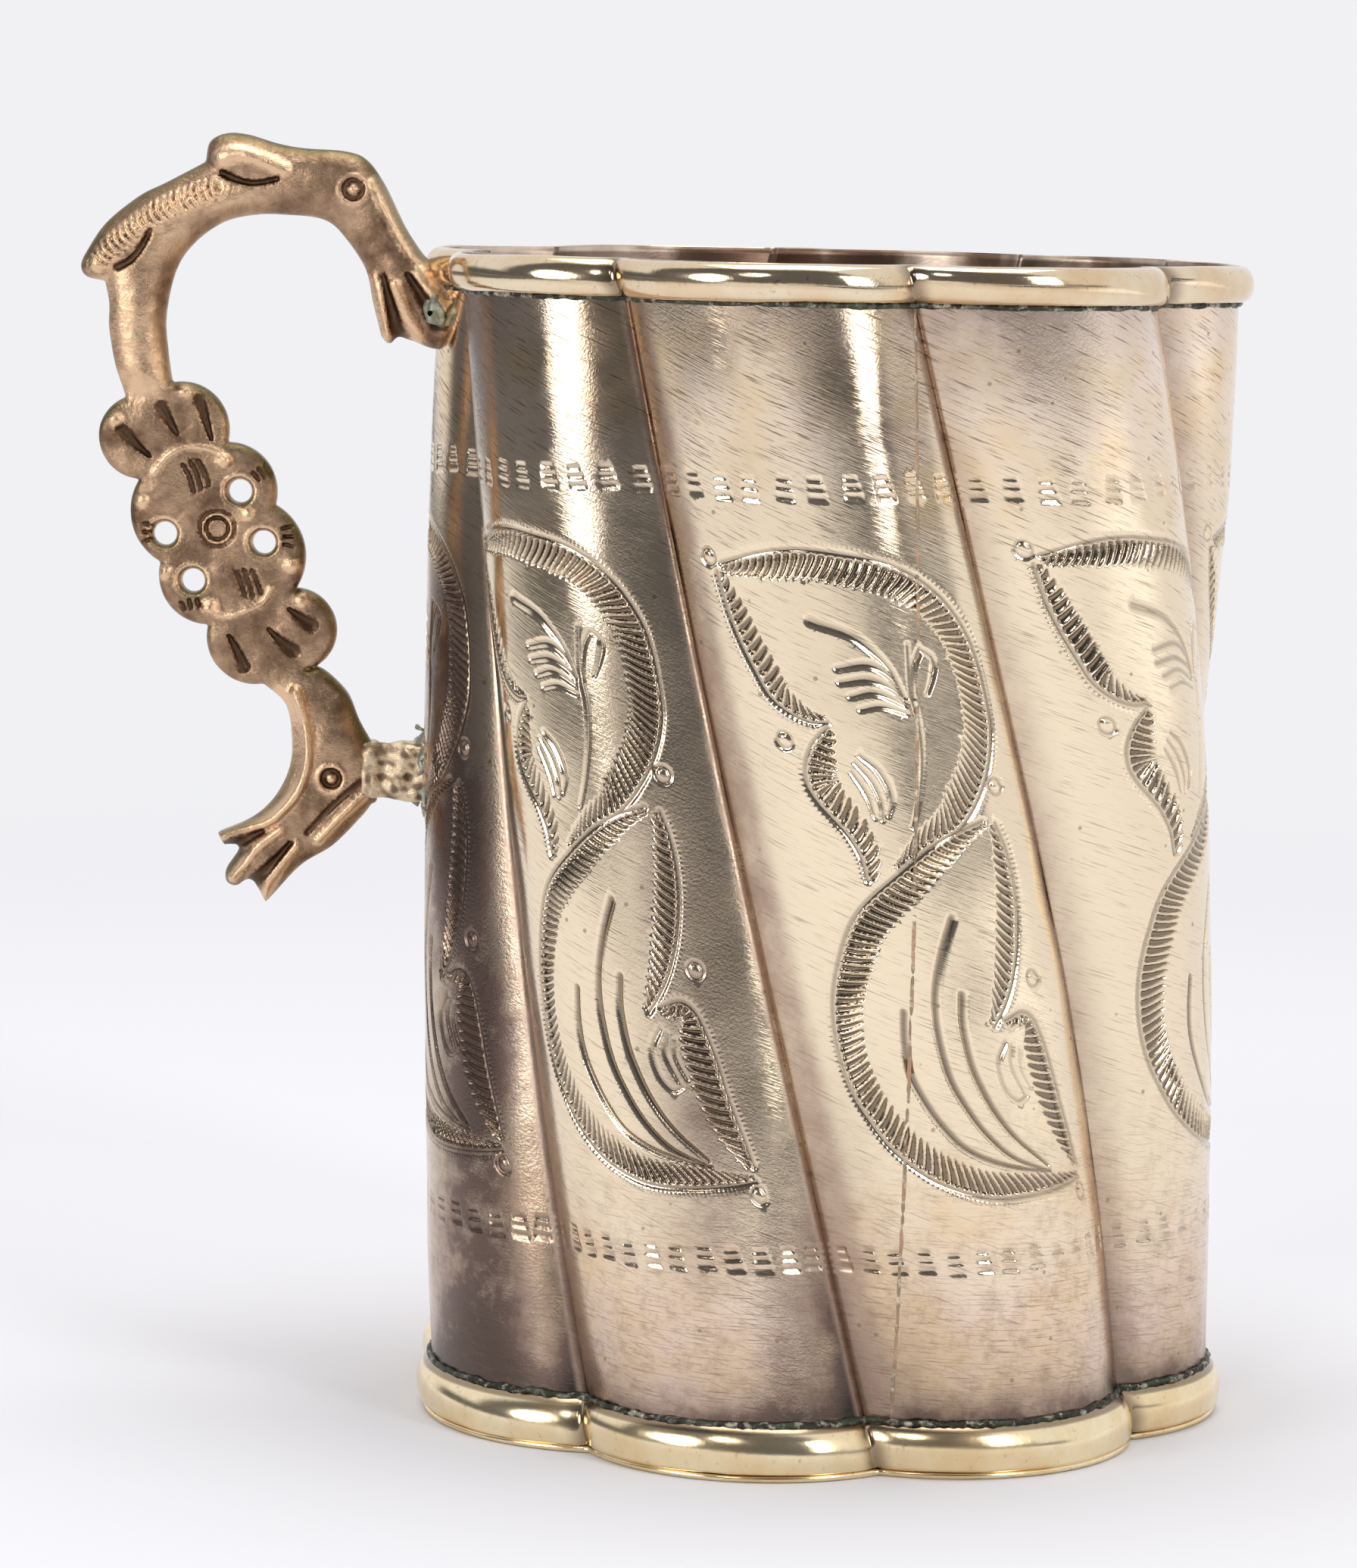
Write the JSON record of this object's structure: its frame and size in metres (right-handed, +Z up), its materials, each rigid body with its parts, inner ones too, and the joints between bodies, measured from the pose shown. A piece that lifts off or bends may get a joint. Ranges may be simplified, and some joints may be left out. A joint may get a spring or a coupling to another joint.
{
  "type": "silver-plated mug",
  "caption": "Tall lobed mug of twisted fluted sheet metal with half-round rim and foot mouldings and a pierced cast beast handle, for holding a drink.",
  "frame": {"origin": "middle of the foot, on the surface that the mug stands on", "axes": "+Z up along the cup's axis, -X towards the handle, Y across the handle's plane"},
  "size_m": [0.1054, 0.0744, 0.114],
  "materials": {
    "plated_wall": "worn silver plate over brass sheet, scraped bright, with chased ornament",
    "gilt_moulding": "polished brass with thin worn plate",
    "cast_bronze": "cast bronze, brown with rubbed bright edges",
    "rough_bronze": "rough pitted bronze",
    "silver_solder": "dull grey solder with green and black tarnish"
  },
  "bodies": {
    "root": {"body_wall": "plated_wall", "seam_solder": "silver_solder", "bottom_plate": "gilt_moulding", "rim_moulding": "gilt_moulding", "rim_solder_bead": "silver_solder", "foot_moulding": "gilt_moulding", "foot_solder_bead": "silver_solder", "handle_casting": "cast_bronze", "handle_lug": "rough_bronze", "bill_solder": "silver_solder", "lug_solder": "silver_solder"}
  },
  "joints": []
}
